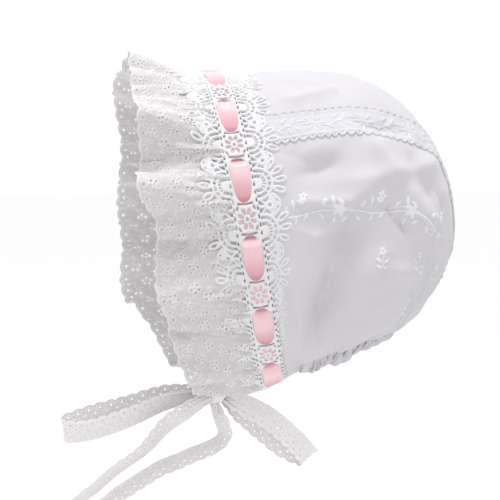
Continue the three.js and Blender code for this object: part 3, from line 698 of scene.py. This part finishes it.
RIB_IN = WALL + GAP
middles = [(k + 0.5) * SLOT_PITCH for k in range(6)]
windows = np.array([middle * side for middle in middles for side in (1, -1) if middle + 8 < RING])
s = np.linspace(-RING, RING, 1001)
d = np.linspace(-1, 1, 13)
S, D = np.meshgrid(s, d, indexing="ij")
near_slot = windows[np.abs(S[..., None] - windows).argmin(-1)]
# -1 at a slot's upper end, 1 at its lower one
x = (S - near_slot) * np.sign(S) / (SLOT_LENGTH / 2)
aside = np.abs(x)
swell = ((2.6 * ease(-0.98, -0.5, x) * (1 - 0.75 * ease(-0.35, 0.95, x))) * (1 - 0.45 * D**4)
         * ease(1.25, 0.9, aside))
ripple = 0.16 * np.sin(9 * D + 2.5 * x + near_slot) * ease(1.0, 0.6, aside)
swell += ripple - 0.5 * ease(1.35, 1.0, aside) * ease(0.75, 1.0, aside)
p = ring.at(D * 4.7, pucker(S) / RING, RIB_IN + 0.35 + swell)
# painted shade on the satin: darker towards a slot's lower end, which turns down away from the light, and
# painted shadow at both ends, where the ribbon dives under the lace
painted_shade = (0.06 + 0.68 * ease(-0.35, 0.9, x) * (aside < 1.1) + 0.35 * np.exp(-((x - 0.93) / 0.13)**2)
         + 0.9 * np.exp(-((x + 0.93) / 0.13)**2))
# paint is 1 less the painted shade and shadow, so 1 gives the satin's own colour
o = mesh_object("ribbon_satin", p.reshape(-1, 3), grid_faces(len(s), len(d)), satin,
                np.stack([S.ravel(), (D * 4).ravel()], -1), (1 - painted_shade).clip(0, 1).ravel())
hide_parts("ribbon")

# ------------------------------------------------------------------ beading lace
def lace_field(s, d):
    x = wrap(s, SLOT_PITCH)                       # medallion at 0
    w = wrap(s, SLOT_PITCH, SLOT_PITCH / 2)       # window at 0
    y = np.abs(d)
    fx = wrap(s, FAN_PITCH, FAN_PHASE)            # fan at 0
    bx = wrap(s, FAN_PITCH, FAN_PHASE + FAN_PITCH / 2)
    # centre strip
    f = 6.6 - y
    f = np.minimum(f, -oval(w, d, SLOT_LENGTH / 2, SLOT_WIDTH / 2, 2.6))
    for k in range(8):
        c, q = math.cos(k * math.pi / 4 + 0.39), math.sin(k * math.pi / 4 + 0.39)
        u, t = x * c + d * q - 3.1, -x * q + d * c
        f = np.minimum(f, -oval(u, t, 1.25, 0.72))
    f = np.minimum(f, -disc(x, d, 0.62))
    f = np.minimum(f, -cord(np.abs(x), y, 6.05, -3.4, 6.05, 3.4, 0.75))
    f = np.minimum(f, -cord(np.abs(x), y, 3.6, 4.35, 4.6, 3.9, 0.7))
    # small openings along the strip
    hole = wrap(s, 3.35)
    f = np.minimum(f, -oval(hole, y - 5.75, 0.95, 0.30))
    # fans
    fy = y - 7.4
    rad = np.hypot(fx, fy)
    g = np.maximum(hoop(fx, fy, 6.9, 1.25), hoop(fx, fy, 4.5, 1.15))
    g = np.maximum(g, disc(fx, fy, 2.5))
    g = np.minimum(g, fy + 1.2)
    for k in (-2, -1, 0, 1, 2):
        ang = math.radians(24 * k)
        c, q = math.cos(ang), math.sin(ang)
        u, t = fy * c + fx * q, fx * c - fy * q
        g = np.maximum(g, cord(u, t, 2.2, 0, 7.0, 0, 0.75))
        loop = oval(u - 10.6, t, 3.1, 1.55, 2.2)
        g = np.maximum(g, np.minimum(loop, -oval(u - 10.7, t, 2.0, 0.55, 2.0)))
    # flower between two fans, with three picots
    bf = y - 11.6
    g = np.maximum(g, np.minimum(disc(bx, bf, 2.15), -disc(bx, bf, 0.75)))
    for k in (-1, 0, 1):
        c, q = math.cos(0.75 * k), math.sin(0.75 * k)
        u, t = bf * c + bx * q, bx * c - bf * q
        g = np.maximum(g, np.minimum(disc(u - 3.0, t, 1.2), -disc(u - 3.0, t, 0.42)))
    g = np.maximum(g, cord(bx, y, 0, 6.4, 0, 10.0, 1.3))
    g = np.maximum(g, cord(np.abs(bx), y, 0.6, 9.8, 3.4, 7.0, 1.0))
    g = np.maximum(g, cord(np.abs(bx), y, 1.6, 11.6, 4.6, 12.2, 0.9))
    g = g + 0.13
    f = np.where(y > 6.6, g, np.maximum(f, np.where(y > 6.2, g, -9)))
    ends = RING - 1.0 - np.abs(s)
    f = np.minimum(f, ends)
    h = dome(f, 0.7, 1.0)
    return f, h, np.clip(h, 0, 1)


def lace_place(s, d, h):
    v = pucker(s) / RING
    r = rows_at(BAND, np.abs(v))
    settle = RIB_IN + RIBBON_T - 1.0 * ease(5.5, 9.0, np.abs(d))
    k = (21.0 * np.where(d < 0, r[:, 1], r[:, 2]) - 6.6) / 14.4  # only the fans get narrower
    y = np.where(np.abs(d) > 6.6, np.sign(d) * (6.6 + (np.abs(d) - 6.6) * k), d)
    low = ease(0.42, 0.75, np.abs(v))
    return ring.at(y, v, settle - 0.35 * low * ease(5.5, 9.0, np.abs(d)) + h * (1 - 0.45 * low))


for name, span in (("lace_right", (-RING, 0)), ("lace_left", (0, RING))):
    o = relief(name, span, (-22.6, 22.6), 0.30, lace_field, lace_place, lace)
    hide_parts("lace_band")

# ------------------------------------------------------------------ insertion strips
# leaves between two blooms: x, y, turn
SPRAY = (
    (-4.4, 2.6, 0.7), (-2.0, -2.8, -0.6), (0.4, 2.9, 1.2),
    (2.6, -2.4, -1.0), (4.6, 2.4, 0.5), (0, 0, 0.2),
)
strip_t = np.linspace(0.062, 0.985, 400)
tot = np.interp(strip_t, ts, total)
for side, name in ((1, "insertion_left"), (-1, "insertion_right")):
    mid = rows_at(INSERT, strip_t)[:, 1]
    line = crown.at(strip_t, side * mid / tot)
    run = run_along(line)

    def insert_field(s, d):
        y = np.abs(d)
        e1 = s + 0.6 * np.sin(s / 5.0) + 1.3 * (d > 0)
        f = 7.2 + 1.75 * np.abs(np.cos(math.pi * e1 / 4.0))**0.8 - y
        h = 0.10 + 0.72 * np.exp(-((f - 0.62) / 0.48)**2)
        f = np.minimum(f, -disc(wrap(e1, 4.0), y - 7.15, 0.38))
        h = np.maximum(h, 0.5 * np.exp(-((y - 5.9) / 0.35)**2))
        a = wrap(s, 25.0)
        bloom = disc(a, d, 0.9)
        for k in range(8):
            c, q = math.cos(k * math.pi / 4), math.sin(k * math.pi / 4)
            u, t = a * c + d * q, -a * q + d * c
            bloom = np.maximum(bloom, oval(u - 3.2, t, 2.1 if k % 2 else 2.6, 0.6))
        b2 = wrap(s, 25.0, 12.5)
        bloom = np.maximum(bloom, 0.35 - np.abs(d - 1.8 * np.sin(s / 3.98)))
        for x0, y0, ang in SPRAY:
            c, q = math.cos(ang), math.sin(ang)
            u, t = (b2 - x0) * c + (d - y0) * q, -(b2 - x0) * q + (d - y0) * c
            bloom = np.maximum(bloom, oval(u, t, 1.9, 0.75))
        h = np.maximum(h, np.where(bloom > 0, 0.12 + dome(bloom, 0.4, 0.4), 0))
        threads = np.abs(np.sin(math.pi * (s + d) / 1.5)), np.abs(np.sin(math.pi * (s - d) / 1.5))
        mesh_net = np.maximum(*threads)
        return f, h, np.where(h > 0.16, 1.0, 0.45 * ease(0.75, 1.0, mesh_net))

    def insert_place(s, d, h):
        t = np.interp(s, run, strip_t)
        w = 1 - 0.25 * ease(0.75, 0.95, t)
        m = np.interp(t, strip_t, mid) + d * w
        return crown.at(t, side * m / np.interp(t, ts, total), 0.95 + h)

    o = relief(name + "_lace", (0, run[-1]), (-9.2, 9.2), 0.36, insert_field, insert_place, net)
    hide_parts(name)

# ------------------------------------------------------------------ embroidery on the sides
# t and v of the vine's line
VINE = np.array([
    (0.085, 0.525), (0.150, 0.515), (0.200, 0.530), (0.280, 0.526),
    (0.342, 0.517), (0.405, 0.513), (0.467, 0.508), (0.567, 0.473),
])
# x, y, turn, half length and half width of the leaves in one repeat of the vine
LEAVES = (
    (0, -5.2, 1.3, 2.1, 1.0), (3.6, -4.6, 0.6, 2.0, 0.9), (-4.2, -3.6, 2.4, 1.9, 0.9),
    (5.6, 2.8, -0.6, 2.0, 0.9), (-5.6, 3.0, 0.8, 1.8, 0.9), (0.6, 3.6, -1.3, 1.8, 0.8),
)
# t and v of each small sprig, and about how long the crown is along t there, in mm
SPRIGS = ((0.320, 0.645, 205.0), (0.465, 0.625, 190.0), (0.52, 0.765, 180.0), (0.64, 0.57, 150.0))
thread = material("thread", (0.645, 0.635, 0.655), 0.6, noise=0.5, noise_mm=0.7, sheen=0.1)


def leaf(x, y, cx, cy, ang, rx, ry):
    c, q = math.cos(ang), math.sin(ang)
    u, t = (x - cx) * c + (y - cy) * q, -(x - cx) * q + (y - cy) * c
    return oval(u, t, rx, ry, 1.7)


def flower(x, y, cx, cy, r):
    out = -disc(x - cx, y - cy, 0.35)
    f = -9 + 0 * x
    for k in range(5):
        turn = k * FIFTH_TURN
        px, py = cx + r * 0.6 * math.cos(turn), cy + r * 0.6 * math.sin(turn)
        f = np.maximum(f, leaf(x, y, px, py, turn, r * 0.62, r * 0.36))
    return np.minimum(f, out)


def vine_field(s, d):
    a = 1.5 * np.sin(s / 6.0)
    f = 0.45 - np.abs(d - a) / np.sqrt(1 + (0.25 * np.cos(s / 6.0))**2)
    f = np.maximum(f, 0.32 - np.abs(d - 2.2 * np.sin(s / 6.0 + 0.9) + 0.3))
    x = wrap(s, 18.85, 4.0)
    for cx, cy, ang, rx, ry in LEAVES:
        f = np.maximum(f, leaf(x, d, cx, cy, ang, rx, ry))
    f = np.maximum(f, cord(x, d, 0, -1.0, 0, -4, 0.7))
    f = np.maximum(f, cord(x, d, 1.5, -1, 3.4, -4, 0.6))
    f = np.maximum(f, flower(wrap(s, 37.7, 26.0), d, 0, -1.5, 3.0))
    f = np.maximum(f, flower(wrap(s, 37.7, 9.0), d, 0, -6.4, 2.2))
    return f, dome(f, 0.4, 0.42), 0 * f


def sprig_field(s, d):
    f = flower(s, d, 0, -2.8, 2.3)
    f = np.maximum(f, cord(s, d, 0, -1, 0.4, 4.2, 0.6))
    for cx, cy, ang in ((-2.4, 1.2, 0.5), (2.6, 1.4, -0.5), (-2.0, 3.8, 0.3), (2.6, 4.2, -0.3)):
        f = np.maximum(f, leaf(s, d, cx, cy, ang, 1.9, 0.75))
    return f, dome(f, 0.4, 0.45), 0 * f


vine_t = np.linspace(VINE[0, 0], VINE[-1, 0], 200)
vine_v = rows_at(VINE, vine_t)[:, 1]
for side, hand in ((1, "left"), (-1, "right")):
    line = crown.at(vine_t, side * vine_v)
    run = run_along(line)

    def vine_place(s, d, h):
        t = np.interp(s, run, vine_t)
        return crown.at(t, side * (np.interp(t, vine_t, vine_v) + d / np.interp(t, ts, total)), 0.78 + h)

    def sprig_place(s, d, h):
        return crown.at(st + s / span, side * (sv + d / np.interp(st, ts, total)), 0.78 + h)

    relief("vine_" + hand, (0, run[-1]), (-9.5, 5.0), 0.3, vine_field, vine_place, thread)
    for k, (st, sv, span) in enumerate(SPRIGS):
        relief("sprig_%s_%d" % (hand, k), (-5, 5), (-5.5, 5.5), 0.28, sprig_field, sprig_place, thread)

# ------------------------------------------------------------------ neck casing
e1 = np.linspace(0.14, 1, 160)
left = [(t, 1.0) for t in e1]
nape = [(1.0, v) for v in np.linspace(1, -1, 90)[1:-1]]
path = np.array(left + nape + [(t, -v) for t, v in left[::-1]])
inner = path.copy()
inner[:, 1] = np.clip(path[:, 1], -1, 1) * (1 - 1.35 * CASING_W / np.interp(path[:, 0], ts, total))
inner[:, 0] = np.minimum(path[:, 0], 1 - 0.055)
s = np.linspace(0, 1, 1300)
key = np.linspace(0, 1, len(path))
w = np.linspace(-0.12, 1, 11)
pt, pv = np.interp(s, key, path[:, 0]), np.interp(s, key, path[:, 1])
it, iv = np.interp(s, key, inner[:, 0]), np.interp(s, key, inner[:, 1])
outer_p = crown.at(pt, pv, 0.0)
run = run_along(outer_p)
pleat = np.sin(2 * math.pi * run / 1.7 + 0.8 * np.sin(run / 9.0)) * (1 + 0.25 * np.sin(run / 2.9))
wc = np.clip(w, 0, 1)[None]
fold = np.sin(wc * math.pi) ** 0.6
ends = (ease(0, 7, run) * ease(0, 7, run[-1] - run))[:, None]
bulge = 0.75 + 1.7 * fold + pleat[:, None] * 0.85 * fold * ends - 0.7 * ease(0.05, -0.12, w)[None]
pts = crown.at(pt[:, None] * (1 - wc) + it[:, None] * wc, pv[:, None] * (1 - wc) + iv[:, None] * wc, bulge)
pts = pts - np.array([0, 0, 2.2]) * ((1 - wc) ** 1.5 * ends)[..., None]
o = mesh_object("casing_cloth", pts.reshape(-1, 3), grid_faces(len(s), len(w)), lawn,
                np.stack([np.repeat(run, len(w)), np.tile(w * 6, len(s))], -1))
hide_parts("neck_casing")

# ------------------------------------------------------------------ ties
def tie_field(length):
    def field(s, y):
        """y from the straight edge (0) to the scalloped edge"""
        a = wrap(s, 5.6)
        edge = 9.5 + 1.7 * np.sqrt(np.clip(1 - (a / 3.0)**2, 0, 1)) - y
        f = np.minimum(np.minimum(edge, y), np.minimum(s, length - s))
        h = 0.05 + 0.55 * np.exp(-((edge - 0.5) / 0.5)**2) + 0.3 * np.exp(-((y - 0.5) / 0.4)**2)
        half = wrap(s, 5.6, 2.8)
        eyelets = (
            (a, 8.6, 0.5), (half, 6.6, 0.42), (a, 5.0, 0.36), (half, 3.2, 0.36), (wrap(s, 2.8), 1.7, 0.24),
        )
        for x, row, r in eyelets:
            q = np.hypot(x, y - row) - r
            f = np.minimum(f, q)
            h = np.maximum(h, 0.05 + 0.5 * np.exp(-((q - 0.42) / 0.36)**2))
        h = np.maximum(h, 0.05 + 0.45 * np.exp(-(np.abs(np.hypot(a, y - 8.4) - 2.0) / 0.4)**2))
        h = np.maximum(h, 0.05 + 0.4 * np.exp(-((y - 4.2 - 0.9 * np.sin(s * 1.122)) / 0.4)**2))
        return f, h, ease(0.08, 0.4, h)
    return field


def strap_surface(rows):
    t = np.column_stack([np.arange(len(rows)), np.array(rows, float)])
    k = np.linspace(0, len(rows) - 1, 60 * (len(rows) - 1) + 1)
    r = rows_at(t, k)
    c, wide, width = r[:, 1:4], r[:, 4:7], r[:, 7]
    along = unit(np.gradient(c, axis=0))
    wide = unit(wide - along * (wide * along).sum(-1, keepdims=True))
    flat = np.cross(along, wide)
    run = run_along(c)
    return run, c, wide, flat, width


def strap(name, rows, flip=1):
    run, c, wide, flat, width = strap_surface(rows)

    def place(s, y, h):
        def along(points):
            return np.stack([np.interp(s, run, points[:, i]) for i in range(3)], -1)

        wd = np.interp(s, run, width)
        q = (y / 11.3 - 0.5) * flip
        squeeze = 1 - wd / TIE_W
        crease = waves(y, 3.2, 5) * squeeze * 1.1 + waves(s, 21.0, len(name)) * 0.25
        wd = wd * (0.86 if name == "tail_back" else 1.0)
        return (along(c) + unit(along(wide)) * (q * wd)[:, None]
                + unit(along(flat)) * (h * 0.6 + crease)[:, None])

    o = relief(name + "_lace", (0, run[-1]), (0, 11.5), 0.36, tie_field(run[-1]), place, tie_cloth)
    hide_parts(name)


for name, rows in STRAPS.items():
    strap(name, rows, -1 if name == "bow_loop_back" else 1)

# the knot: a gathered wrap round a small core
u, w = np.linspace(0, 2 * math.pi, 121), np.linspace(-1, 1, 61)
U, W = np.meshgrid(u, w, indexing="ij")
pleats = 0.07 * np.abs(np.sin(W * 4.2 + 0.8 * np.sin(U) + 0.6))
R = 1 - 0.12 * np.abs(W)**4 + pleats + 0.03 * np.sin(3 * U + 2) - 0.02
pts = np.stack([
    KNOT[0] + 5.4 * R * np.cos(U),
    KNOT[1] + 5.2 * W + 0.7 * np.sin(U),
    KNOT[2] + 5.2 * R * np.sin(U),
], -1)
o = mesh_object("knot_wrap", pts.reshape(-1, 3), grid_faces(len(u), len(w)), tie_cloth,
                np.stack([(U * 5).ravel(), (W * 5).ravel()], -1), np.ones(U.size))
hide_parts("bow_knot")

# ------------------------------------------------------------------ floor
me = bpy.data.meshes.new("floor")
me.from_pydata([(-6, -6, -0.5), (6, -6, -0.5), (6, 6, -0.5), (-6, 6, -0.5)], [], [(0, 1, 2, 3)])
floor = bpy.data.objects.new("floor", me)
floor_look = bpy.data.materials.new("floor")
floor_look.use_nodes = True
floor_look.node_tree.nodes["Principled BSDF"].inputs["Base Color"].default_value = (0.88, 0.88, 0.88, 1)
floor_look.node_tree.nodes["Principled BSDF"].inputs["Roughness"].default_value = 0.9
me.materials.append(floor_look)
scene.collection.objects.link(floor)
